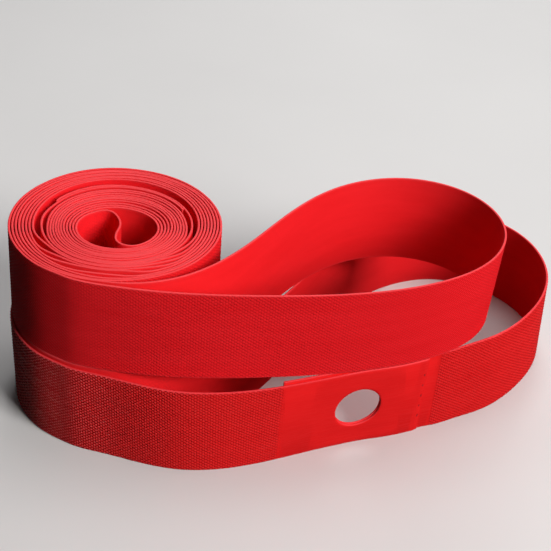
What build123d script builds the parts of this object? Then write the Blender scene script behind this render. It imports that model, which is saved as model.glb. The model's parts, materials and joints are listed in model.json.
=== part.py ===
from build123d import *
from math import cos, dist, floor, pi, sin
import os

# A pair of bicycle rim strips, stood on edge and stacked. Each strip is one endless
# tape: its two ends overlap, are pressed flat, spot welded and punched for the valve.
# The tape is wound two layers at a time from a fold in the eye of the roll, and its
# last bight springs out sideways as a loop.
# Frame: +Z up, Z = 0 is the table, the origin is under the middle of the pair's
# footprint, +X runs along the loops and -Y is the side that shows the valve hole.

# ---- the tape -------------------------------------------------------------------
tape_width = 18.0          # height of a strip as it stands on edge
tape_thickness = 0.39
stack_clearance = 0.02     # between the lower strip and the upper one

# ---- the splice -----------------------------------------------------------------
lap_length = 28.2
lap_clearance = 0.02       # between the two welded layers
lap_runout = 5.0           # length over which the inner layer rejoins the tape's line
valve_hole_radius = 4.5
valve_hole_offset = 0.9    # from the middle of the lap towards its welded end
spot_radius = 0.30
spot_pitch = 2.6
spot_count = 5
spot_inset = 0.6           # from the cut end of the outer layer
spot_recess = 0.06         # how far a spot sinks below the faces of the tape
lower_lap_middle = 45.2    # X of the middle of the lap on the lower strip's front run
upper_lap_turn = 4.5       # turns of the outer strand to the middle of the upper lap
lap_reach = (0.24, 0.18)   # part turns that the upper lap takes either side of there

# ---- the roll -------------------------------------------------------------------
# Windings are numbered inward from the outside. The outer strand of the pair starts
# at winding 0 and the inner strand at winding 1, and each turn adds two. The roll has
# an outer group and an inner group of windings with an open gap between them.
# Values are for the front, left, back and right of the roll.
first_distance = (16.83, 19.40, 21.49, 18.96)   # from the eye to winding 0
outer_pitch = (0.52, 0.60, 0.54, 0.575)         # per winding, outside the gap
inner_pitch = (0.485, 0.56, 0.77, 0.565)        # per winding, inside the gap
gap_winding = (4.0, 8.0, 8.5, 9.0)              # winding at the middle of the gap
gap_spread = (2.0, 1.2, 1.2, 1.2)               # windings that the gap opens over
gap_width = (1.20, 0.95, 1.80, 0.60)
roll_middle = (-32.21, -9.54)   # of the upper roll, from the origin
steps_per_turn = 24
leave_turn = 0.07          # where the outer strand leaves the roll for the loop
eye_turns = (9.42, 9.87)   # where the inner and the outer strand leave the eye's wall
fold_bow = ((0.35, 2.0), (0.12, -1.5), (0.9, -4.3))   # the fold passes these, from the eye
upper_eye = (0.6, -2.4)
lower_eye = (0.3, -4.3)
lower_first_winding = 0.7  # the lower strip's longer loop leaves its roll smaller

# ---- the loops ------------------------------------------------------------------
# Points that the middle of the tape passes, from the front of the roll, around the
# far end of the loop and back to the roll. They count from the roll's middle.
upper_loop = [
    (1.2, -19.8),
    (8.6, -20.3),
    (27.0, -19.2),
    (43.7, -16.0),
    (57.6, -10.2),
    (66.9, -1.8),
    (69.9, 8.6),
    (64.9, 19.3),
    (53.6, 23.6),
    (41.9, 19.8),
    (31.0, 7.7),
    (21.2, -8.0),
    (11.6, -16.6),
]
lower_loop = [
    (1.0, -21.4),
    (14.7, -24.2),
    (24.8, -22.8),
    (45.0, -14.4),
    (62.8, -6.4),
    (76.2, 5.3),
    (83.0, 22.0),
    (77.5, 37.8),
    (64.5, 43.3),
    (50.5, 36.8),
    (33.3, 10.3),
    (20.5, -10.0),
    (9.5, -18.7),
]
loop_steps = 130
fold_steps = 14
stations_per_edge = 16


def smooth_step(x):
    """0 below x = 0, 1 above x = 1, and a smooth rise between."""
    x = min(max(x, 0.0), 1.0)
    return x * x * (3 - 2 * x)


def around(values, angle):
    """Runs smoothly through four values: front, left, back and right."""
    front, left, back, right = values
    return (
        (front + left + back + right) / 4
        + (front - back) / 2 * cos(angle)
        + (left - right) / 2 * sin(angle)
        + (front + back - left - right) / 4 * cos(2 * angle)
    )


def between(values, angle):
    """As around, but never above or below the two sides that it lies between."""
    quarter = angle / (pi / 2) % 4
    side = int(quarter)
    share = sin((quarter - side) * pi / 2) ** 2
    return values[side] * (1 - share) + values[(side + 1) % 4] * share


def crowding(turns_from_lap, depth):
    """Windings just inside the lap give way by one layer, and less further in."""
    x = turns_from_lap - floor(turns_from_lap + 0.5)
    ramp, soft_windings = 0.10, 5
    along = smooth_step((x + lap_reach[0]) / ramp + 1)
    along *= smooth_step((lap_reach[1] - x) / ramp + 1)
    return along * min(max(1 - (depth - 1) / soft_windings, 0.0), 1.0)


def roll_point(turn, strand, eye, first_winding, lap_turn):
    """Middle of the tape, turn counted inward from the front; strand 0 is the outer."""
    winding = first_winding + 2 * turn + strand
    if lap_turn is not None and turn > lap_turn + 0.5 - strand:
        winding += crowding(turn - lap_turn, 2 * (turn - lap_turn) + strand)
    angle = 2 * pi * turn
    gap_at = between(gap_winding, angle)
    outside = around(outer_pitch, angle) * min(winding, gap_at)
    inside = around(inner_pitch, angle) * max(winding - gap_at, 0.0)
    opened = smooth_step((winding - gap_at) / between(gap_spread, angle) + 0.5)
    gap = between(gap_width, angle) * opened
    radius = around(first_distance, angle) - outside - inside - gap
    return (eye[0] - radius * sin(angle), eye[1] - radius * cos(angle))


def strand_points(first_turn, last_turn, *roll):
    """Evenly spaced points on one strand of the roll."""
    count = round(abs(last_turn - first_turn) * steps_per_turn)
    step = (last_turn - first_turn) / count
    return [roll_point(first_turn + i * step, *roll) for i in range(count + 1)]


def direction(a, b):
    """Unit vector from point a to point b."""
    return Vector(b[0] - a[0], b[1] - a[1]).normalized()


def sampled(edge, count):
    """Points between the ends of an edge."""
    points = [edge @ (i / count) for i in range(1, count)]
    return [(p.X, p.Y) for p in points]


def centre_points(loop, eye, first_winding, lap_turn, extra_turns):
    """The closed line that the tape follows: outer strand, loop, inner strand, fold."""
    roll_in = (eye, first_winding, lap_turn)
    inner_end, outer_end = [turn + extra_turns for turn in eye_turns]
    outer = strand_points(outer_end, leave_turn, 0, *roll_in)
    inner = strand_points(0.0, inner_end, 1, *roll_in)
    bight = Edge.make_spline(
        [Vector(*p) for p in [outer[-1]] + loop + [inner[0]]],
        tangents=[direction(outer[-2], outer[-1]), direction(inner[0], inner[1])],
        scale=False,
    )
    swing = Location((eye[0], eye[1], 0), (0, 0, -360 * extra_turns))
    bows = [(swing * Pos(*p)).position for p in fold_bow]
    fold = Edge.make_spline(
        [Vector(*inner[-1]), *bows, Vector(*outer[0])],
        tangents=[direction(inner[-2], inner[-1]), direction(outer[0], outer[1])],
        scale=False,
    )
    points = outer + sampled(bight, loop_steps) + inner + sampled(fold, fold_steps)
    return [(x + roll_middle[0], y + roll_middle[1]) for x, y in points]


def closed_length(points):
    """Length of the closed line through the points."""
    return sum(dist(a, b) for a, b in zip(points, points[1:] + points[:1]))


class Tape:
    """One rim strip: its closed centre line, its lap and its outline."""

    def __init__(self, points, lap_middle):
        self.length = closed_length(points)
        self.line = Edge.make_spline([Vector(*p) for p in points], periodic=True)
        travelled = [0.0]
        for a, b in zip(points, points[1:]):
            travelled.append(travelled[-1] + dist(a, b))
        self.knots = [s / self.length for s in travelled]
        self.lap_at = self.knots[lap_middle]
        half_lap = lap_length / 2 / self.length
        self.start = self.lap_at - half_lap
        self.end = self.lap_at + half_lap + 1.0
        inside = [k + shift for shift in (-1, 0, 1) for k in self.knots]
        margin = 0.5 / self.length
        middle = [k for k in inside if self.start + margin < k < self.end - margin]
        self.stations = [self.start, *middle, self.end]

    def frame(self, station):
        """Point on the centre line and the direction across the tape to its inner face."""
        at = station % 1.0
        along = self.line % at
        return self.line @ at, Vector(-along.Y, along.X), along

    def lap_offset(self, station):
        """How far the tape's inner end sits behind its outer end."""
        run = (station - self.start) * self.length
        fade = smooth_step((run - lap_length) / lap_runout)
        return (tape_thickness + lap_clearance) * (1 - fade)

    def side(self, stations, sideways):
        """Points on one face of the tape, sideways from the middle of its thickness."""
        points = []
        for station in stations:
            point, across, _ = self.frame(station)
            points.append(point + across * (self.lap_offset(station) + sideways))
        return points

    def side_edges(self, sideways):
        """One face of the tape as a chain of splines, seen from above."""
        points = self.side(self.stations, sideways)
        last = len(points) - 1
        breaks = [*range(0, last - stations_per_edge // 2, stations_per_edge), last]
        chain = []
        for a, b in zip(breaks, breaks[1:]):
            ends = [self.frame(self.stations[i])[2] for i in (a, b)]
            chain.append(Edge.make_spline(points[a : b + 1], tangents=ends, scale=False))
        return chain

    def face(self, base):
        """The plan of the whole tape, as a face at the height of its lower edge."""
        outer = self.side_edges(-tape_thickness / 2)
        inner = self.side_edges(tape_thickness / 2)
        ends = [
            Edge.make_line(outer[0] @ 0, inner[0] @ 0),
            Edge.make_line(outer[-1] @ 1, inner[-1] @ 1),
        ]
        return Pos(0, 0, base) * Face(Wire(outer + inner + ends))

    def lap_plane(self, from_middle, height):
        """Plane on the lap's outer face, its normal pointing out of the outer face."""
        station = self.lap_at + from_middle / self.length
        point, across, along = self.frame(station)
        face = point - across * (tape_thickness / 2)
        return Plane(
            origin=(face.X, face.Y, height), x_dir=(along.X, along.Y, 0), z_dir=-across
        )

    def lap_outline(self, spare):
        """Corners of a band that holds both layers of the lap and a little more."""
        near = [k for k in self.stations if k < self.start + lap_length / self.length]
        far_side = tape_thickness * 1.5 + lap_clearance + spare
        shown = [self.frame(k)[:2] for k in near]
        outer = [p - n * (tape_thickness / 2 + spare) for p, n in shown]
        inner = [p + n * far_side for p, n in shown]
        return outer, inner


def equal_length_turns(target, low, high):
    """Extra part turns in the lower roll that give its tape the target length."""
    for _ in range(24):
        middle = (low + high) / 2
        points = centre_points(lower_loop, lower_eye, lower_first_winding, None, middle)
        if closed_length(points) < target:
            low = middle
        else:
            high = middle
    return (low + high) / 2


upper_points = centre_points(upper_loop, upper_eye, 0.0, upper_lap_turn, 0.0)
upper_lap_index = round((eye_turns[1] - upper_lap_turn) * steps_per_turn)
upper_tape = Tape(upper_points, upper_lap_index)

extra = equal_length_turns(upper_tape.length, -1.0, 1.0)
lower_points = centre_points(lower_loop, lower_eye, lower_first_winding, None, extra)
lap_x = roll_middle[0] + lower_lap_middle
front_run = [i for i, (x, y) in enumerate(lower_points) if y < roll_middle[1] - 5]
lower_lap_index = min(front_run, key=lambda i: abs(lower_points[i][0] - lap_x))
lower_tape = Tape(lower_points, lower_lap_index)

lap_stack = 2 * tape_thickness + lap_clearance
spot_from_middle = lap_length / 2 - spot_inset
spot_heights = [
    tape_width / 2 + (i - (spot_count - 1) / 2) * spot_pitch for i in range(spot_count)
]
spot_length = lap_stack - 2 * spot_recess


def punch_for(tape, base):
    """What the valve punch takes out: a round plug of the lap's two layers."""
    outer, inner = tape.lap_outline(0.06)
    with BuildPart() as punch:
        with BuildSketch(Plane.XY.offset(base)):
            with BuildLine():
                Spline(*outer)
                Spline(*inner)
                Line(outer[0], inner[0])
                Line(outer[-1], inner[-1])
            make_face()
        extrude(amount=tape_width)
        with Locations(tape.lap_plane(valve_hole_offset, base + tape_width / 2)):
            Cylinder(valve_hole_radius, 10, mode=Mode.INTERSECT)
    return punch.part


def spots_for(tape, base, radius, length):
    """A row of short pins through both layers, at the lap's welded end."""
    with BuildPart() as pins:
        for height in spot_heights:
            with Locations(tape.lap_plane(spot_from_middle, base + height)):
                with Locations((0, 0, -lap_stack / 2)):
                    Cylinder(radius, length)
    return pins.part


lower_base = 0.0
upper_base = tape_width + stack_clearance

upper_punch = punch_for(upper_tape, upper_base)
lower_punch = punch_for(lower_tape, lower_base)
upper_spot_holes = spots_for(upper_tape, upper_base, spot_radius, lap_stack + 0.1)
lower_spot_holes = spots_for(lower_tape, lower_base, spot_radius, lap_stack + 0.1)

upper_plan = upper_tape.face(upper_base)
lower_plan = lower_tape.face(lower_base)

# ---- upper strip ----------------------------------------------------------------
with BuildPart() as upper_strip:
    extrude(upper_plan, amount=tape_width, dir=(0, 0, 1), clean=False)
    add(upper_punch, mode=Mode.SUBTRACT, clean=False)
    add(upper_spot_holes, mode=Mode.SUBTRACT, clean=False)

# ---- lower strip ----------------------------------------------------------------
with BuildPart() as lower_strip:
    extrude(lower_plan, amount=tape_width, dir=(0, 0, 1), clean=False)
    add(lower_punch, mode=Mode.SUBTRACT, clean=False)
    add(lower_spot_holes, mode=Mode.SUBTRACT, clean=False)

# ---- weld spots: the melted pins that hold each lap together ---------------------
with BuildPart() as upper_weld_spots:
    add(spots_for(upper_tape, upper_base, spot_radius, spot_length))

with BuildPart() as lower_weld_spots:
    add(spots_for(lower_tape, lower_base, spot_radius, spot_length))

os.makedirs("parts", exist_ok=True)
for name, piece in [
    ("upper_strip", upper_strip),
    ("lower_strip", lower_strip),
    ("upper_weld_spots", upper_weld_spots),
    ("lower_weld_spots", lower_weld_spots),
]:
    piece.part.label = name
    export_step(piece.part, f"parts/{name}.step")
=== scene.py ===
import bpy
import json
import numpy as np
from math import ceil, cos, exp, pi, radians, sin
from mathutils import Matrix, Vector


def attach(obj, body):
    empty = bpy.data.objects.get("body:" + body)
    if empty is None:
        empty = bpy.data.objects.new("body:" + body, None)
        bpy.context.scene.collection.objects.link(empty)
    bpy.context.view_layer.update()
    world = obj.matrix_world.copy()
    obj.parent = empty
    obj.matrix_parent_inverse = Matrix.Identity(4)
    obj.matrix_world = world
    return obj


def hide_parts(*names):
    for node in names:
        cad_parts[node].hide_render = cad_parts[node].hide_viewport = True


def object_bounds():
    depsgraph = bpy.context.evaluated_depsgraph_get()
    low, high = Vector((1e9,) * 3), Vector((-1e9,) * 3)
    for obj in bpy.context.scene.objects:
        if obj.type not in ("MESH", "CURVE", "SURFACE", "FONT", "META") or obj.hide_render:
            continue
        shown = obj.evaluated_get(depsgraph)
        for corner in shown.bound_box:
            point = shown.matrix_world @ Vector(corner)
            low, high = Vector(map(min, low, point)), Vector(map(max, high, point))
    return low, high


# A pair of bicycle rim strips on a pale table. Each strip's plan is read from its CAD
# node, and the tape is built again along it with its embossing, its cut edges, its
# pressed lap, its valve hole and its weld spots. The tapes are worked out in mm and
# scaled when their meshes are made; the floor, the lights and the camera are in metres.

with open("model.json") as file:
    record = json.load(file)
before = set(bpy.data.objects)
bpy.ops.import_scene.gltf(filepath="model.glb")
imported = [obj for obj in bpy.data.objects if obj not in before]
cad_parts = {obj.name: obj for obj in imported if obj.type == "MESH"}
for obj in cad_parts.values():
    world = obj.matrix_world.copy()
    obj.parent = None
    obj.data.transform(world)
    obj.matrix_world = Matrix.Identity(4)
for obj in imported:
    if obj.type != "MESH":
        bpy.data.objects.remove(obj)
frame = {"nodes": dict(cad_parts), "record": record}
cad_low, cad_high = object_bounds()

MM = 0.001
WIDTH = 18.0               # the tape's width, as in the CAD
EDGE_ROUND = 0.07          # rounding of the cut edges
COARSE_STEP = 0.9          # between the columns of vertices where the tape is plain
PLAIN_ROWS = 3             # vertices across the width where the tape is plain
PATCH_ROWS = 9             # and on the ends of the patch round the valve hole

# Embossing: raised dots on the outer face, every second row shifted by half a pitch.
DOT_ALONG = 0.94           # pitch along the tape
DOT_ACROSS = 0.65          # pitch across it
DOT_HEIGHT = 0.13
DOT_RADIUS = 0.28
EMBOSS_ROWS = 55
EMBOSS_FADE = 0.5          # length over which the embossing starts and stops

# The lap and what the press leaves on it.
LAP = 28.2
PRESSED_AFTER_END = 2.3    # smooth length beyond the outer layer's end
THINNED_LENGTH = 0.9       # of the outer layer's end, which is pressed thinner
THINNED_SHARE = 0.45       # of the thickness, lost at the very end
HOLE_RADIUS = 4.5
HOLE_ROUND = 0.06          # how far the faces' rim lies outside the hole's wall
HOLE_LIP = 0.035           # height of the raised lip round the hole
HOLE_PATCH = 8.5           # half the length of the mesh patch round the hole
PATCH_COLUMNS = 16
HOLE_RINGS = 7
SPOT_COUNT = 5
SPOT_PITCH = 2.6
SPOT_INSET = 0.6           # from the outer layer's cut end
SPOT_RADIUS = 0.42
SPOT_DEPTH = 0.06          # of the dimple round a weld spot
SPOT_RIM = 0.025           # height of the dimple's rim
SPOT_COLUMN_STEP = 0.12    # mesh steps over the spots, along the tape
SPOT_ROW_STEP = 0.22       # and across it
SPOT_ROWS = 81
BEAD_CORNERS = 14          # round a weld spot's bead
BEAD_RINGS = 4


# ---- reading a strip's plan from its CAD node ------------------------------------
def plan_loop(node):
    """The outline of a strip's bottom face as an ordered array of points, in mm."""
    mesh = frame["nodes"][node].data
    count = len(mesh.vertices)
    co = np.zeros(count * 3)
    mesh.vertices.foreach_get("co", co)
    co = co.reshape(-1, 3) / MM
    bottom = co[:, 2].min()
    key = [tuple(np.round(p[:2], 4)) if abs(p[2] - bottom) < 1e-3 else None for p in co]
    used = {}
    for face in mesh.polygons:
        keys = [key[v] for v in face.vertices]
        if None in keys:
            continue
        for a, b in zip(keys, keys[1:] + keys[:1]):
            pair = (a, b) if a < b else (b, a)
            used[pair] = used.get(pair, 0) + 1
    near = {}
    for (a, b), times in used.items():
        if times == 1 and a != b:
            near.setdefault(a, []).append(b)
            near.setdefault(b, []).append(a)
    start = min(near)
    loop, previous, here = [start], None, start
    while True:
        steps = [p for p in near[here] if p != previous]
        previous, here = here, steps[0]
        if here == start:
            break
        loop.append(here)
    loop = np.array(loop)
    x, y = loop[:, 0], loop[:, 1]
    area = 0.5 * np.sum(x * np.roll(y, -1) - np.roll(x, -1) * y)
    return (loop if area > 0 else loop[::-1]), bottom


def turning(points):
    """Angle turned at each inner point of a chain of points."""
    d = np.diff(points, axis=0)
    a = np.arctan2(d[:, 1], d[:, 0])
    return (np.diff(a) + pi) % (2 * pi) - pi


def outer_side(loop):
    """The side of the outline that is the tape's outer face, and the thickness."""
    closed = np.vstack([loop[-1:], loop, loop[:1]])
    corners = [i for i, a in enumerate(turning(closed)) if abs(a) > 0.9]
    chains = []
    for a, b in zip(corners, corners[1:] + corners[:1]):
        index = np.arange(a, b + 1 if b > a else b + 1 + len(loop)) % len(loop)
        chains.append(loop[index])
    length = [np.hypot(*np.diff(c, axis=0).T).sum() for c in chains]
    order = np.argsort(length)
    thickness = min(length)
    sides = [chains[i] for i in order[-2:]]
    return max(sides, key=lambda c: turning(c).sum()), thickness


class Curve:
    """A smooth curve through points, by distance along it."""

    def __init__(self, points):
        keep = np.r_[True, np.hypot(*np.diff(points, axis=0).T) > 1e-3]
        self.p = points[keep]
        gaps = np.hypot(*np.diff(self.p, axis=0).T)
        self.s = np.r_[0.0, np.cumsum(gaps)]
        slope = np.diff(self.p, axis=0) / gaps[:, None]
        before, after = gaps[:-1, None], gaps[1:, None]
        middle = (slope[:-1] * after + slope[1:] * before) / (before + after)
        self.m = np.vstack([slope[:1], middle, slope[-1:]])
        self.length = self.s[-1]

    def at(self, s):
        """Points, unit tangents and left-hand normals at the distances s."""
        s = np.clip(np.asarray(s, float), 0.0, self.length)
        i = np.clip(np.searchsorted(self.s, s, side="right") - 1, 0, len(self.s) - 2)
        h = self.s[i + 1] - self.s[i]
        t = ((s - self.s[i]) / h)[:, None]
        h = h[:, None]
        p0, p1, m0, m1 = self.p[i], self.p[i + 1], self.m[i], self.m[i + 1]
        point = (
            (2 * t**3 - 3 * t**2 + 1) * p0
            + (t**3 - 2 * t**2 + t) * h * m0
            + (3 * t**2 - 2 * t**3) * p1
            + (t**3 - t**2) * h * m1
        )
        along = (
            (6 * t**2 - 6 * t) / h * (p0 - p1)
            + (3 * t**2 - 4 * t + 1) * m0
            + (3 * t**2 - 2 * t) * m1
        )
        along /= np.hypot(*along.T)[:, None]
        across = np.column_stack([-along[:, 1], along[:, 0]])
        return point, along, across

    def nearest(self, target, low, high):
        """The distance, between low and high, that comes closest to a point."""
        s = np.linspace(low, high, 4000)
        point = self.at(s)[0]
        return s[np.hypot(*(point - np.array(target)).T).argmin()]


def smooth(x):
    """0 below x = 0, 1 above x = 1, with a smooth rise between."""
    x = np.clip(x, 0.0, 1.0)
    return x * x * (3 - 2 * x)


def bump(s, middle, half):
    """1 at the middle, falling smoothly to 0 at half its width."""
    return smooth(1 - np.abs(s - middle) / half)


# ---- the mesh of a tape -----------------------------------------------------------
class Mesh:
    """Collects vertices and faces, then makes an object of them."""

    def __init__(self):
        self.co, self.tape, self.emboss, self.faces, self.kinds = [], [], [], [], []

    def add(self, points, marks, emboss=0.0):
        """Adds vertices; returns their numbers."""
        first = len(self.co)
        self.co.extend(map(tuple, points))
        self.tape.extend(map(tuple, marks))
        self.emboss.extend([emboss] * len(points))
        return list(range(first, first + len(points)))

    def face(self, kind, *corners):
        self.faces.append(corners)
        self.kinds.append(kind)

    def strip(self, kind, left, right):
        """Quads between two chains of the same number of vertices."""
        for a, b, c, d in zip(left, right, right[1:], left[1:]):
            self.face(kind, a, b, c, d)

    def dotted(self, kind, left, right, first_raised):
        """Triangles between two chains of dots and hollows, split along the hollows."""
        corners = zip(left, right, right[1:], left[1:])
        for row, (a, b, c, d) in enumerate(corners):
            if (row % 2 == 0) == first_raised:
                self.face(kind, a, b, d)
                self.face(kind, b, c, d)
            else:
                self.face(kind, a, b, c)
                self.face(kind, a, c, d)

    def zipper(self, kind, left, right):
        """Triangles between two chains with different numbers of vertices."""
        height = self.height
        i = j = 0
        while i < len(left) - 1 or j < len(right) - 1:
            take_left = j == len(right) - 1 or (
                i < len(left) - 1 and height(left[i + 1]) <= height(right[j + 1])
            )
            if take_left:
                self.face(kind, left[i], right[j], left[i + 1])
                i += 1
            else:
                self.face(kind, left[i], right[j], right[j + 1])
                j += 1

    def height(self, vertex):
        return self.tape[vertex][1]

    def join(self, kind, left, right):
        if len(left) == len(right):
            self.strip(kind, left, right)
        else:
            self.zipper(kind, left, right)

    def build(self, name, materials):
        mesh = bpy.data.meshes.new(name)
        co = np.array(self.co) * MM
        mesh.from_pydata(co.tolist(), [], self.faces)
        for material in materials:
            mesh.materials.append(material)
        mesh.polygons.foreach_set("material_index", np.array(self.kinds, np.int32))
        mesh.polygons.foreach_set("use_smooth", np.ones(len(self.faces), bool))
        marks = mesh.attributes.new("tape", "FLOAT_VECTOR", "POINT")
        marks.data.foreach_set("vector", np.array(self.tape, np.float32).ravel())
        raised = mesh.attributes.new("emboss", "FLOAT", "POINT")
        raised.data.foreach_set("value", np.array(self.emboss, np.float32))
        mesh.set_sharp_from_angle(angle=radians(50))
        mesh.update()
        made = bpy.data.objects.new(name, mesh)
        bpy.context.scene.collection.objects.link(made)
        return made


OUTER, INNER, CUT = 0, 1, 2    # material slots of a tape


class Tape:
    """Builds one strip round the plan of its CAD node."""

    def __init__(self, node, textured, depth, hole_at, lean, shear, wander):
        loop, self.base = plan_loop(node)
        side, self.thick = outer_side(loop)
        self.curve = Curve(side)
        self.length = self.curve.length
        far = self.curve.at(np.linspace(0, self.length, 8000))[0][:, 0].argmax()
        self.far = far / 7999 * self.length
        self.textured, self.emboss_depth = textured(self), depth
        self.lean, self.shear, self.wander = lean, shear, wander
        self.holes = hole_at(self)

    def place(self, s, z, depth):
        """World points for distance s, height z and depth below the outer face."""
        s, z, depth = np.broadcast_arrays(*[np.asarray(v, float) for v in (s, z, depth)])
        point, _, across = self.curve.at(s.ravel())
        z, depth = z.ravel(), depth.ravel()
        out = self.lean(self, s.ravel(), z)
        xy = point + across * (depth - out)[:, None]
        xy = xy + self.shear(xy, z)
        tall = z * (1 + self.wander(self, s.ravel()) / WIDTH)
        return np.column_stack([xy, self.base + tall])

    def in_texture(self, s):
        """How strongly the embossing stands at distance s, from 0 to 1."""
        strength = np.zeros_like(np.asarray(s, float))
        for low, high in self.textured:
            rise = smooth((s - low) / EMBOSS_FADE) * smooth((high - s) / EMBOSS_FADE)
            strength = np.maximum(strength, rise)
        return strength

    def embossed(self, s):
        """1 on the embossed length of the tape and 0 where the press has flattened it."""
        after, before = LAP + PRESSED_AFTER_END, self.length - LAP
        kept = smooth((s - after) / EMBOSS_FADE) * smooth((before - s) / EMBOSS_FADE)
        return float(self.emboss_depth(self, s) * kept)

    def stations(self):
        """Distances of the columns, each with the kind of its rows."""
        marks = []
        for low, high in self.textured:
            first, last = ceil(low / DOT_ALONG * 2), int(high / DOT_ALONG * 2)
            marks += [(i * DOT_ALONG / 2, "fine") for i in range(first, last + 1)]
        step = 2 * HOLE_PATCH / PATCH_COLUMNS
        for s in self.holes:
            first = s - HOLE_PATCH
            marks += [(first, "patch_end"), (s + HOLE_PATCH, "patch_end")]
            marks += [(first + i * step, "patch") for i in range(1, PATCH_COLUMNS)]
        spot = self.length - SPOT_INSET
        marks += [(spot + i * SPOT_COLUMN_STEP, "spots") for i in range(-7, 6)]
        marks.sort()
        filled = [(0.0, "plain")]
        for s, kind in marks + [(self.length, "plain")]:
            last = filled[-1][0]
            gap = s - last
            if gap > COARSE_STEP * 1.2:
                steps = ceil(gap / COARSE_STEP)
                filled += [(last + gap * i / steps, "plain") for i in range(1, steps)]
            if gap > 0.02:
                filled.append((s, kind))
        return filled

    def rows(self, kind):
        """Heights of the vertices on the outer face of a column."""
        low, high = EDGE_ROUND, WIDTH - EDGE_ROUND
        if kind in ("fine", "spots"):
            step, count = DOT_ACROSS / 2, EMBOSS_ROWS
            if kind == "spots":
                step, count = SPOT_ROW_STEP, SPOT_ROWS
            middle = (count - 1) / 2
            inside = [WIDTH / 2 + (j - middle) * step for j in range(count)]
            return np.array([low, *inside, high])
        return np.linspace(low, high, PATCH_ROWS if "patch" in kind else PLAIN_ROWS)

    def raised(self, s, z):
        """Whether a vertex of an embossed column is the top of a dot."""
        column = np.round(s / DOT_ALONG * 2).astype(int)
        row = np.round((z - WIDTH / 2) / DOT_ACROSS * 2).astype(int)
        return (column + row) % 2 == 0

    def relief(self, s, z, kind):
        """How far the outer face stands out at a vertex of a column."""
        if kind == "fine":
            inside = (z > 0.1) & (z < WIDTH - 0.1)
            strength = self.in_texture(np.full(len(z), s))
            height = DOT_HEIGHT * self.emboss_depth(self, s)
            return height * self.raised(s, z) * inside * strength
        if kind == "spots":
            out = np.zeros(len(z))
            for height in spot_heights():
                d2 = (s - (self.length - SPOT_INSET)) ** 2 + (z - height) ** 2
                out -= SPOT_DEPTH * np.exp(-d2 / (2 * (SPOT_RADIUS * 0.55) ** 2))
                rim = np.exp(-((np.sqrt(d2) - SPOT_RADIUS * 1.25) ** 2) / 0.012)
                out += SPOT_RIM * rim
            return out
        return np.zeros(len(z))

    def thickness_at(self, s):
        """The thickness, and how far the outer face is sunk where it is pressed thinner."""
        end = smooth((s - (self.length - THINNED_LENGTH)) / THINNED_LENGTH)
        sunk = self.thick * THINNED_SHARE * end
        return self.thick - sunk, sunk

    def edge_profile(self, s, top, thick, sunk):
        """Vertices over a cut edge, from the outer face to the inner one."""
        r = EDGE_ROUND
        depth = np.array([0.3 * r, r, thick - r, thick - 0.3 * r]) + sunk
        rise = np.array([0.7 * r, r, r, 0.7 * r])
        z = WIDTH - r + rise if top else r - rise
        return np.full(4, s), z, depth

    def build(self, name, materials):
        mesh = Mesh()
        columns = []
        for s, kind in self.stations():
            thick, sunk = self.thickness_at(s)
            z = self.rows(kind)
            inner_z = self.rows(kind if "patch" in kind else "plain")
            if kind == "patch":
                z, inner_z = z[[0, -1]], inner_z[[0, -1]]
            relief = self.relief(s, z, kind)
            side = []
            for heights, depth, mark, emboss in (
                (z, sunk - relief, 0.0, self.embossed(s)),
                (inner_z, np.full(len(inner_z), thick + sunk), 1.0, 0.0),
            ):
                points = self.place(s, heights, depth)
                marks = [(s, h, mark) for h in heights]
                side.append(mesh.add(points, marks, emboss))
            ends = []
            for top in (True, False):
                at, height, depth = self.edge_profile(s, top, thick, sunk)
                points = self.place(at, height, depth)
                ends.append(mesh.add(points, [(s, h, 0.5) for h in height]))
            columns.append((s, kind, side[0], side[1], ends[0], ends[1]))
        for left, right in zip(columns, columns[1:]):
            if "patch" not in (left[1], right[1]):
                if left[1] == right[1] == "fine":
                    # The lowest rows lie just inside the cut edges and are plain.
                    second_raised = bool(self.raised(left[0], self.rows("fine")[1]))
                    mesh.dotted(OUTER, left[2], right[2], not second_raised)
                else:
                    mesh.join(OUTER, left[2], right[2])
                mesh.join(INNER, right[3], left[3])
            tops = [[c[2][-1], *c[4], c[3][-1]] for c in (left, right)]
            feet = [[c[3][0], *c[5][::-1], c[2][0]] for c in (left, right)]
            mesh.strip(CUT, tops[0], tops[1])
            mesh.strip(CUT, feet[0], feet[1])
        self.cap(mesh, columns[0], False)
        self.cap(mesh, columns[-1], True)
        for s in self.holes:
            self.hole(mesh, s, [c for c in columns if abs(c[0] - s) < HOLE_PATCH + 0.01])
        return mesh.build(name, materials)

    def cap(self, mesh, column, at_far_end):
        """Closes a cut end of the tape with triangles between its two faces."""
        _, _, outside, inside, top, foot = column
        outer = [foot[1], foot[0], *outside, top[0], top[1]]
        inner = [foot[2], foot[3], *inside, top[3], top[2]]
        before = len(mesh.faces)
        mesh.zipper(CUT, outer, inner)
        if not at_far_end:
            mesh.faces[before:] = [f[::-1] for f in mesh.faces[before:]]

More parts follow.
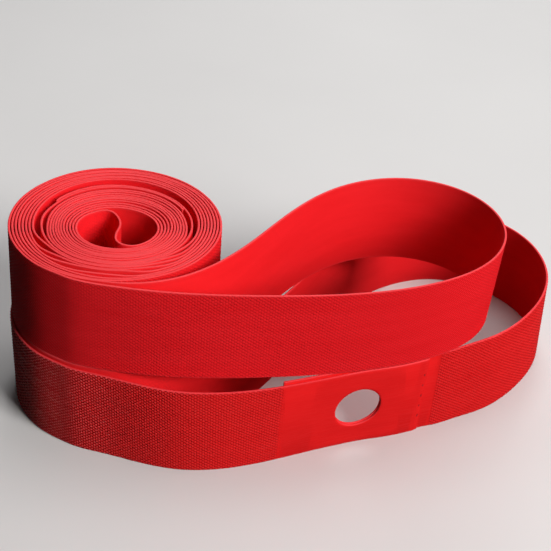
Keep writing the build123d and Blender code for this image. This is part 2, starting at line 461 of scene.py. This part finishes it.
    def hole(self, mesh, s, columns):
        """Fills the patch round the valve hole on both faces and lines the hole."""
        rings = []
        for face, depth, mark in ((2, 0.0, 0.0), (3, self.thick, 1.0)):
            first, last = columns[0][face], columns[-1][face]
            edge = [c[face][0] for c in columns]
            edge += last[1:-1]
            edge += [c[face][-1] for c in reversed(columns)]
            edge += first[-2:0:-1]
            flat = np.array([mesh.tape[v][:2] for v in edge]) - (s, WIDTH / 2)
            angle = np.arctan2(flat[:, 1], flat[:, 0])
            circle = np.column_stack([np.cos(angle), np.sin(angle)])
            ring_ids = []
            for ring in range(HOLE_RINGS):
                share = (ring / HOLE_RINGS) ** 1.35
                start = circle * (HOLE_RADIUS + HOLE_ROUND)
                at = start + (flat - start) * share
                out = HOLE_LIP * exp(-((ring - 1.0) ** 2) / 1.5) if face == 2 else 0.0
                points = self.place(s + at[:, 0], WIDTH / 2 + at[:, 1], depth - out)
                marks = [(s + a, WIDTH / 2 + b, mark) for a, b in at]
                ring_ids.append(mesh.add(points, marks))
            ring_ids.append(edge)
            for a, b in zip(ring_ids, ring_ids[1:]):
                pairs = zip(a, a[1:] + a[:1], b[1:] + b[:1], b)
                for p, q, r, t in pairs:
                    corners = (p, t, r, q) if face == 2 else (p, q, r, t)
                    mesh.face(face - 2, *corners)
            rings.append((ring_ids[0], circle))
        wall = [rings[0][0]]
        at = rings[0][1] * HOLE_RADIUS
        for depth in (0.05, self.thick - 0.05):
            points = self.place(s + at[:, 0], WIDTH / 2 + at[:, 1], depth)
            marks = [(s + a, WIDTH / 2 + b, 0.5) for a, b in at]
            wall.append(mesh.add(points, marks))
        wall.append(rings[1][0])
        for a, b in zip(wall, wall[1:]):
            for p, q, r, t in zip(a, a[1:] + a[:1], b[1:] + b[:1], b):
                mesh.face(CUT, p, q, r, t)


def spot_heights():
    """Heights of the weld spots on the tape."""
    return [WIDTH / 2 + (i - (SPOT_COUNT - 1) / 2) * SPOT_PITCH for i in range(SPOT_COUNT)]


# ---- how the two strips lie -------------------------------------------------------
record_hole = next(m for m in frame["record"]["mounts"] if m["name"] == "valve_hole")
lower_hole = [v / MM for v in record_hole["pos_m"][:2]]
ROLL_RADIUS = 18.8
ROLL_X = cad_low[0] / MM + ROLL_RADIUS

# Leans and shifts that the photo shows and the CAD's upright tapes don't have, in mm,
# or in mm per mm of height. A reach is the length over which one dies out.
LAP_LEAN, LAP_LEAN_FROM, LAP_LEAN_REACH = 0.055, 7.0, 42.0
FAR_END_FOOT, FAR_END_TOP = 1.5, 0.25      # of the lower loop, outward; its ramps leave 0.7
FLARE, FLARE_FROM, FLARE_REACH = 0.042, 2.0, 46.0
FOOT_TUCK, FOOT_TUCK_REACH = 1.2, 42.0
ROLL_LEAN = 0.036
SET_BACK = 1.05            # of the lower strip's roll and front run
SET_BACK_CHANGES = (       # where along x it is less or more: middle, reach, change
    (-27.0, 15.0, -0.45), (21.0, 7.0, -0.28), (33.0, 8.0, 0.22),
)


def lower_texture(tape):
    """The outer face is embossed round the loop and on the roll's outermost layer."""
    after_lap = LAP + PRESSED_AFTER_END
    before_lap = tape.length - LAP
    return [(after_lap, tape.far + 108.0), (before_lap - 152.0, before_lap)]


def upper_texture(tape):
    """The same for the upper strip."""
    return [(tape.far - 205.0, tape.far + 88.0)]


def lower_depth(tape, s):
    """The embossing is deepest on the run up to the lap, and worn near the press."""
    up_to_lap = smooth((tape.length - LAP - 10.0 - s) / 40.0)
    return 0.5 + 0.5 * up_to_lap * smooth((s - tape.far) / 60.0)


def upper_depth(tape, s):
    """The upper strip is embossed less deeply, and its inner windings hardly at all."""
    wound_in = smooth((np.abs(s - tape.far) - 205.0) / 30.0)
    return 0.3 - 0.22 * wound_in


def lower_holes(tape):
    """Where the valve hole cuts the inner layer of the lap, and the outer one."""
    first = tape.curve.nearest(lower_hole, 0.0, LAP)
    second = tape.curve.nearest(lower_hole, tape.length - LAP, tape.length)
    return [first, second]


def upper_holes(tape):
    """The same for the upper strip, its hole being as far from the cut end."""
    first = lower.holes[0]
    point = tape.curve.at([first])[0][0]
    second = tape.curve.nearest(point, tape.length - LAP, tape.length)
    return [first, second]


def lower_lean(tape, s, z):
    """The lap leans outward at its top, and the far end of the loop at its foot."""
    from_lap = np.where(s > tape.length / 2, s - (tape.length - LAP / 2), s - LAP / 2)
    lap = LAP_LEAN * bump(from_lap, 0.0, LAP_LEAN_REACH) * (z - LAP_LEAN_FROM)
    far_end = smooth((s - 48.0) / 34.0) * smooth((tape.far + 25.0 - s) / 30.0)
    return lap + far_end * (FAR_END_FOOT + (FAR_END_TOP - FAR_END_FOOT) * z / WIDTH)


def upper_lean(tape, s, z):
    """The far end of the loop flares outward at its top, and its foot tucks in."""
    foot = FOOT_TUCK * bump(s, tape.far - 36.0, FOOT_TUCK_REACH) * (1 - z / WIDTH)
    return FLARE * bump(s, tape.far - 6.0, FLARE_REACH) * (z - FLARE_FROM) - foot


def lower_shear(xy, z):
    """The roll leans back a little, and it and the front run stand a little further back."""
    x, y = xy.T
    roll = 1 - smooth((x - ROLL_X - 15.0) / 25.0)
    front = np.maximum(roll, 1 - smooth((y + 18.0) / 30.0)) * smooth((44.0 - x) / 11.0)
    change = sum(size * bump(x, middle, reach) for middle, reach, size in SET_BACK_CHANGES)
    back = roll * ROLL_LEAN * (z - WIDTH) + SET_BACK * front * (1 + change)
    return np.column_stack([roll * ROLL_LEAN * (11.5 - z), back])


def no_shear(xy, z):
    """The upper strip leans but is not shifted."""
    return np.zeros_like(xy)


def waves(s, size):
    """A gentle rise and fall along the tape, the same on every run."""
    long_wave = 0.6 * np.sin(s / 17.9 + 1.3)
    return size * (0.4 * np.sin(s / 7.3) + long_wave + 0.2 * np.sin(s / 3.1))


def lower_wander(tape, s):
    """From the roll on to its outer end the tape is less tall than round the loop."""
    in_roll = smooth((np.abs(s - tape.far) - 215.0) / 40.0)
    return -0.05 + waves(s, 0.03) - 0.6 * in_roll


def upper_wander(tape, s):
    """The cut edges of the windings don't lie at quite the same height."""
    in_roll = smooth((np.abs(s - tape.far) - 95.0) / 30.0)
    return waves(s, 0.02) + in_roll * waves(s + 40.0, 0.10)


lower = Tape(
    "lower_strip", lower_texture, lower_depth, lower_holes, lower_lean, lower_shear,
    lower_wander,
)
upper = Tape(
    "upper_strip", upper_texture, upper_depth, upper_holes, upper_lean, no_shear,
    upper_wander,
)


# ---- materials ----------------------------------------------------------------------
PALE_RED = (0.88, 0.062, 0.074)    # of worn edges
HOLLOW_SHADE_RED = (0.46, 0.003, 0.005)    # painted shade in the hollows between the dots
# the pinker red of the dots' tops: a painted highlight, partly wear
PAINTED_HIGHLIGHT_WORN_PINK = (0.94, 0.100, 0.105)
DOT_BUMP = 0.24            # mm, of the shading on the dots
DOT_HIGHLIGHT_AND_WEAR_SHARE = 0.90        # how far a dot's top takes the paler colour of a painted highlight, partly wear
HOLLOW_SHADE_STRENGTH = 0.56        # how dark the painted shade in a hollow is
WORN_WIDTH = 0.5           # mm along each cut edge
WORN_PALENESS = 0.30


def shader(name):
    """A new material; returns it, its node tree and its Principled node."""
    material = bpy.data.materials.new(name)
    material.use_nodes = True
    tree = material.node_tree
    return material, tree, tree.nodes["Principled BSDF"]


def node(tree, kind, **settings):
    """Adds a node and sets its inputs or properties by name."""
    made = tree.nodes.new(kind)
    for key, value in settings.items():
        if key in made.inputs:
            made.inputs[key].default_value = value
        else:
            setattr(made, key, value)
    return made


def ramp(tree, source, stops):
    """A colour ramp fed by source."""
    made = tree.nodes.new("ShaderNodeValToRGB")
    elements = made.color_ramp.elements
    while len(elements) < len(stops):
        elements.new(0.5)
    for element, (position, colour) in zip(elements, stops):
        element.position = position
        element.color = (*colour, 1.0)
    tree.links.new(source, made.inputs["Fac"])
    return made.outputs["Color"]


def tape_coordinates(tree, along=1.0, across=1.0):
    """The tape's own coordinates: along it, across it, and which face."""
    source = node(tree, "ShaderNodeAttribute", attribute_name="tape")
    scaled = node(tree, "ShaderNodeMapping")
    scaled.inputs["Scale"].default_value = (along, across, 1.0)
    tree.links.new(source.outputs["Vector"], scaled.inputs["Vector"])
    return scaled.outputs["Vector"]


def linked(tree, kind, first, second, **settings):
    """A node that takes one or two inputs, each a socket or a plain value."""
    made = node(tree, kind, **settings)
    for slot, value in enumerate((first, second)):
        if hasattr(value, "is_output"):
            tree.links.new(value, made.inputs[slot])
        elif value is not None:
            made.inputs[slot].default_value = value
    return made.outputs[1 if settings.get("operation") == "LENGTH" else 0]


def dome_field(tree):
    """Two masks: 1 on the dots' tops, and 1 in the hollows between them, for painted shade.
    """
    source = node(tree, "ShaderNodeAttribute", attribute_name="tape").outputs["Vector"]
    near = []
    for shift in (0.5, 0.0):
        offset = (shift, shift - WIDTH / 2 / DOT_ACROSS, 0.0)
        lattice = linked(
            tree, "ShaderNodeVectorMath", source, (1 / DOT_ALONG, 1 / DOT_ACROSS, 0.0),
            operation="MULTIPLY",
        )
        lattice = linked(tree, "ShaderNodeVectorMath", lattice, offset, operation="ADD")
        lattice = linked(tree, "ShaderNodeVectorMath", lattice, None, operation="FRACTION")
        lattice = linked(
            tree, "ShaderNodeVectorMath", lattice, (0.5, 0.5, 0.0), operation="SUBTRACT"
        )
        lattice = linked(
            tree, "ShaderNodeVectorMath", lattice,
            (DOT_ALONG / DOT_RADIUS, DOT_ACROSS / DOT_RADIUS, 0.0), operation="MULTIPLY",
        )
        near.append(linked(tree, "ShaderNodeVectorMath", lattice, None, operation="LENGTH"))
    away = linked(tree, "ShaderNodeMath", near[0], near[1], operation="MINIMUM")
    away = linked(tree, "ShaderNodeMath", away, 2.0, operation="POWER")
    dome = linked(tree, "ShaderNodeMath", 1.0, away, operation="SUBTRACT", use_clamp=True)
    dome = linked(tree, "ShaderNodeMath", dome, 0.7, operation="POWER")
    strength = node(tree, "ShaderNodeAttribute", attribute_name="emboss").outputs["Fac"]
    dome = linked(tree, "ShaderNodeMath", dome, strength, operation="MULTIPLY")
    hollow = linked(tree, "ShaderNodeMath", strength, dome, operation="SUBTRACT")
    return dome, hollow


def blended(tree, amount, first, second):
    """A mix of two colours; the second may be a plain colour."""
    made = node(tree, "ShaderNodeMix", data_type="RGBA")
    tree.links.new(amount, made.inputs[0])
    tree.links.new(first, made.inputs[6])
    made.inputs[7].default_value = (*second, 1.0)
    return made.outputs[2]


def tape_material(name, deep, bright, roughness, grain_size, sheen, glow, shine=None):
    """Soft red plastic: two blended tones, streaks along the tape and fine grain.

    The grain is grain_size mm deep, glow is the share of light let through, and shine,
    where it is given, is the specular level on the tops of embossed dots.
    """
    material, tree, bsdf = shader(name)
    cloud = node(tree, "ShaderNodeTexNoise", Scale=1.0, Detail=4.0, Roughness=0.6)
    tree.links.new(tape_coordinates(tree, 0.06, 0.35), cloud.inputs["Vector"])
    colour = ramp(tree, cloud.outputs["Fac"], [(0.30, deep), (0.72, bright)])
    streaks = node(tree, "ShaderNodeTexNoise", Scale=1.0, Detail=3.0, Roughness=0.7)
    tree.links.new(tape_coordinates(tree, 0.25, 5.0), streaks.inputs["Vector"])
    rough = node(tree, "ShaderNodeMapRange")
    rough.inputs["To Min"].default_value = roughness - 0.07
    rough.inputs["To Max"].default_value = roughness + 0.09
    tree.links.new(streaks.outputs["Fac"], rough.inputs["Value"])
    grain = node(tree, "ShaderNodeTexNoise", Scale=6.0, Detail=2.0)
    tree.links.new(tape_coordinates(tree), grain.inputs["Vector"])
    relief = node(tree, "ShaderNodeBump", Strength=0.25, Distance=grain_size * MM)
    tree.links.new(grain.outputs["Fac"], relief.inputs["Height"])
    if shine is not None:
        dome, hollow = dome_field(tree)
        emboss = node(tree, "ShaderNodeBump", Strength=1.0, Distance=DOT_BUMP * MM)
        tree.links.new(dome, emboss.inputs["Height"])
        tree.links.new(relief.outputs["Normal"], emboss.inputs["Normal"])
        relief = emboss
        top = linked(tree, "ShaderNodeMath", dome, 3.0, operation="POWER")
        # Painted highlight, partly wear: the tops of the dots are paled towards a pinker red.
        pale = linked(tree, "ShaderNodeMath", top, DOT_HIGHLIGHT_AND_WEAR_SHARE, operation="MULTIPLY")
        # Painted shade: the hollows between the dots are darkened towards a deep red.
        dark = linked(tree, "ShaderNodeMath", hollow, HOLLOW_SHADE_STRENGTH, operation="MULTIPLY")
        colour = blended(tree, dark, colour, HOLLOW_SHADE_RED)
        colour = blended(tree, pale, colour, PAINTED_HIGHLIGHT_WORN_PINK)
        glint = node(tree, "ShaderNodeMapRange")
        glint.inputs["To Min"].default_value = sheen
        glint.inputs["To Max"].default_value = shine
        tree.links.new(top, glint.inputs["Value"])
        tree.links.new(glint.outputs["Result"], bsdf.inputs["Specular IOR Level"])
    height = node(tree, "ShaderNodeSeparateXYZ")
    tree.links.new(tape_coordinates(tree), height.inputs["Vector"])
    from_middle = linked(
        tree, "ShaderNodeMath", height.outputs["Y"], WIDTH / 2, operation="SUBTRACT"
    )
    from_middle = linked(tree, "ShaderNodeMath", from_middle, None, operation="ABSOLUTE")
    worn = node(tree, "ShaderNodeMapRange")
    worn.inputs["From Min"].default_value = WIDTH / 2 - WORN_WIDTH
    worn.inputs["From Max"].default_value = WIDTH / 2
    worn.inputs["To Max"].default_value = WORN_PALENESS
    tree.links.new(from_middle, worn.inputs["Value"])
    colour = blended(tree, worn.outputs["Result"], colour, PALE_RED)
    tree.links.new(colour, bsdf.inputs["Base Color"])
    tree.links.new(rough.outputs["Result"], bsdf.inputs["Roughness"])
    tree.links.new(relief.outputs["Normal"], bsdf.inputs["Normal"])
    bsdf.inputs["Specular IOR Level"].default_value = sheen
    through = node(tree, "ShaderNodeBsdfTranslucent")
    tree.links.new(colour, through.inputs["Color"])
    mix = node(tree, "ShaderNodeMixShader", Fac=glow)
    out = tree.nodes["Material Output"]
    tree.links.new(bsdf.outputs["BSDF"], mix.inputs[1])
    tree.links.new(through.outputs["BSDF"], mix.inputs[2])
    tree.links.new(mix.outputs["Shader"], out.inputs["Surface"])
    return material


deep_red = tape_material(
    "tape_embossed", deep=(0.83, 0.013, 0.014), bright=(0.90, 0.018, 0.019),
    roughness=0.26, grain_size=0.02, sheen=0.05, glow=0.20, shine=1.0,
)
fine_red = tape_material(
    "tape_fine_embossed", deep=(0.88, 0.013, 0.019), bright=(0.94, 0.018, 0.026),
    roughness=0.38, grain_size=0.02, sheen=0.06, glow=0.20, shine=0.3,
)
inner_red = tape_material(
    "tape_smooth", deep=(0.82, 0.013, 0.017), bright=(0.88, 0.017, 0.023),
    roughness=0.50, grain_size=0.01, sheen=0.12, glow=0.22,
)
cut_red = tape_material(
    "tape_cut_edge", deep=(0.78, 0.026, 0.034), bright=(0.88, 0.050, 0.060),
    roughness=0.62, grain_size=0.03, sheen=0.20, glow=0.08,
)
spot_red = tape_material(
    "melted_plastic", deep=(0.42, 0.004, 0.006), bright=(0.56, 0.006, 0.008),
    roughness=0.42, grain_size=0.02, sheen=0.3, glow=0.1,
)

lower_piece = lower.build("lower_tape", [deep_red, inner_red, cut_red])
upper_piece = upper.build("upper_tape", [fine_red, inner_red, cut_red])


# ---- weld spots -----------------------------------------------------------------------
def weld_spots(tape, name):
    """Melted beads at the bottom of the dimples, each slightly its own shape."""
    mesh = Mesh()
    s = tape.length - SPOT_INSET
    sunk = tape.thickness_at(s)[1]
    angle = np.arange(BEAD_CORNERS) / BEAD_CORNERS * 2 * pi

    def on_axis(height, depth):
        """Adds a vertex on a bead's axis."""
        return mesh.add(tape.place(s, height, sunk + depth), [(s, height, 0.0)])[0]

    for number, height in enumerate(spot_heights()):
        tilt = 0.5 * sin(number * 2.1)
        grow = 0.85 + 0.12 * sin(number * 3.7 + 1)
        wobble = 1 + 0.14 * np.sin(angle * 2 + number) + 0.07 * np.sin(angle * 3 + 2 * number)
        ids = []
        for ring in range(1, BEAD_RINGS + 1):
            share = ring / BEAD_RINGS
            radius = SPOT_RADIUS * grow * share * wobble
            u = radius * np.cos(angle) * 0.72
            v = radius * np.sin(angle) * 1.18
            a = u * cos(tilt * 0.3) - v * sin(tilt * 0.3)
            b = u * sin(tilt * 0.3) + v * cos(tilt * 0.3)
            out = 0.045 * (1 - share**2) - 0.055
            points = tape.place(s + a, height + b, sunk - out)
            ids.append(mesh.add(points, [(s + x, height + y, 0.0) for x, y in zip(a, b)]))
        corners = [(k, (k + 1) % BEAD_CORNERS) for k in range(BEAD_CORNERS)]
        top = on_axis(height, 0.01)
        for k, m in corners:
            mesh.face(0, top, ids[0][k], ids[0][m])
        for inside, outside in zip(ids, ids[1:]):
            for k, m in corners:
                mesh.face(0, inside[k], outside[k], outside[m], inside[m])
        back = on_axis(height, 0.25)
        for k, m in corners:
            mesh.face(0, ids[-1][m], ids[-1][k], back)
    return mesh.build(name, [spot_red])


lower_spots = weld_spots(lower, "lower_spots")
upper_spots = weld_spots(upper, "upper_spots")

for piece, body, cad_node, slot_name in (
    (lower_piece, "lower", "lower_strip", "embossed_tape"),
    (upper_piece, "upper", "upper_strip", "embossed_tape"),
    (lower_spots, "lower", "lower_weld_spots", "melted_spots"),
    (upper_spots, "upper", "upper_weld_spots", "melted_spots"),
):
    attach(piece, body)
    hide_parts(cad_node)


# ---- table, light and camera --------------------------------------------------------
BACKDROP = (0.55, 0.56, 0.57, 1.0)
TABLE_TONES = (0.60, 0.64)                 # darkest and lightest grey of the mottle
TABLE_FOR_LIGHT = (0.035, 0.035, 0.036, 1.0)   # its colour for light that bounces off it
FADE_FROM, FADE_TO = 0.12, 0.90            # where the table turns into the backdrop
TABLE_HALF = 3.0
TABLE_BELOW = 0.00002                      # keeps it clear of the strips' cut edges
SKY_LIGHT = 0.012                          # what the backdrop adds to the light


def floor():
    """A pale table top with a faint mottle that runs out into a plain backdrop.

    The photo's table is dark, so the light that this one throws up is held down.
    """
    material, tree, bsdf = shader("pale_table")
    place = node(tree, "ShaderNodeTexCoord").outputs["Object"]
    mottle = node(tree, "ShaderNodeTexNoise", Scale=9.0, Detail=5.0)
    tree.links.new(place, mottle.inputs["Vector"])
    dark, light = [(tone,) * 3 for tone in TABLE_TONES]
    tones = ramp(tree, mottle.outputs["Fac"], [(0.3, dark), (0.7, light)])
    seen = node(tree, "ShaderNodeLightPath").outputs["Is Camera Ray"]
    shown = node(tree, "ShaderNodeMix", data_type="RGBA")
    shown.inputs[6].default_value = TABLE_FOR_LIGHT
    tree.links.new(seen, shown.inputs["Factor"])
    tree.links.new(tones, shown.inputs[7])
    tree.links.new(shown.outputs[2], bsdf.inputs["Base Color"])
    bsdf.inputs["Roughness"].default_value = 0.75
    away = linked(tree, "ShaderNodeVectorMath", place, None, operation="LENGTH")
    fade = node(tree, "ShaderNodeMapRange", interpolation_type="SMOOTHSTEP")
    fade.inputs["From Min"].default_value = FADE_FROM
    fade.inputs["From Max"].default_value = FADE_TO
    tree.links.new(away, fade.inputs["Value"])
    amount = linked(
        tree, "ShaderNodeMath", fade.outputs["Result"], seen, operation="MULTIPLY"
    )
    backdrop = node(tree, "ShaderNodeEmission", Color=BACKDROP, Strength=1.0)
    mix = node(tree, "ShaderNodeMixShader")
    tree.links.new(amount, mix.inputs["Fac"])
    tree.links.new(bsdf.outputs["BSDF"], mix.inputs[1])
    tree.links.new(backdrop.outputs["Emission"], mix.inputs[2])
    tree.links.new(mix.outputs["Shader"], tree.nodes["Material Output"].inputs["Surface"])
    mesh = bpy.data.meshes.new("table")
    signs = [(-1, -1), (1, -1), (1, 1), (-1, 1)]
    corners = [(x * TABLE_HALF, y * TABLE_HALF, -TABLE_BELOW) for x, y in signs]
    mesh.from_pydata(corners, [], [(0, 1, 2, 3)])
    mesh.materials.append(material)
    table = bpy.data.objects.new("table", mesh)
    bpy.context.scene.collection.objects.link(table)


def soft_light(name, position, size, power, colour, glints_only=False):
    """A square soft light aimed at the middle of the strips."""
    light = bpy.data.lights.new(name, "AREA")
    light.shape = "SQUARE"
    light.size = size
    light.energy = power
    light.color = colour
    lamp = bpy.data.objects.new(name, light)
    lamp.location = position
    aim = Vector(middle) - Vector(position)
    lamp.rotation_euler = aim.to_track_quat("-Z", "Y").to_euler()
    lamp.visible_diffuse = lamp.visible_transmission = not glints_only
    bpy.context.scene.collection.objects.link(lamp)


floor()
middle = [(a + b) / 2 for a, b in zip(cad_low, cad_high)]
soft_light("key", (0.58, -0.50, 0.54), 0.40, 10.8, (1.0, 0.97, 0.95))
soft_light("top", (0.07, 0.13, 0.55), 0.30, 1.10, (1.0, 1.0, 1.0))
soft_light("back", (0.05, 0.60, 0.36), 0.35, 1.6, (1.0, 0.98, 0.97))
soft_light("glints", (-0.12, -0.32, 0.31), 0.09, 1.2, (1.0, 0.9, 0.9), glints_only=True)

world = bpy.data.worlds.new("studio")
bpy.context.scene.world = world
world.use_nodes = True
tree = world.node_tree
sky = tree.nodes["Background"]
sky.inputs["Color"].default_value = BACKDROP
seen = node(tree, "ShaderNodeLightPath")
sky_strength = node(tree, "ShaderNodeMapRange")
sky_strength.inputs["To Min"].default_value = SKY_LIGHT
sky_strength.inputs["To Max"].default_value = 1.0
tree.links.new(seen.outputs["Is Camera Ray"], sky_strength.inputs["Value"])
tree.links.new(sky_strength.outputs["Result"], sky.inputs["Strength"])

# The camera stands in front of the roll, a little to its right, looking down.
CAMERA_AT = (-0.00293, -0.21335, 0.16716)
CAMERA_DOWN = radians(34.488)
CAMERA_ROLL = radians(4.7515)
CAMERA_LENS = 88.72        # on a 36 mm wide sensor

camera_data = bpy.data.cameras.new("camera")
camera_data.lens = CAMERA_LENS
camera_data.sensor_width = 36.0
camera_data.clip_start = 0.01
camera = bpy.data.objects.new("camera", camera_data)
level_right = Vector((1, 0, 0))
level_up = Vector((0, sin(CAMERA_DOWN), cos(CAMERA_DOWN)))
right = level_right * cos(CAMERA_ROLL) + level_up * sin(CAMERA_ROLL)
up = level_up * cos(CAMERA_ROLL) - level_right * sin(CAMERA_ROLL)
back = right.cross(up)
turned = Matrix((right, up, back)).transposed().to_4x4()
camera.matrix_world = Matrix.Translation(CAMERA_AT) @ turned
bpy.context.scene.collection.objects.link(camera)
bpy.context.scene.camera = camera
bpy.context.scene.view_settings.view_transform = "Standard"
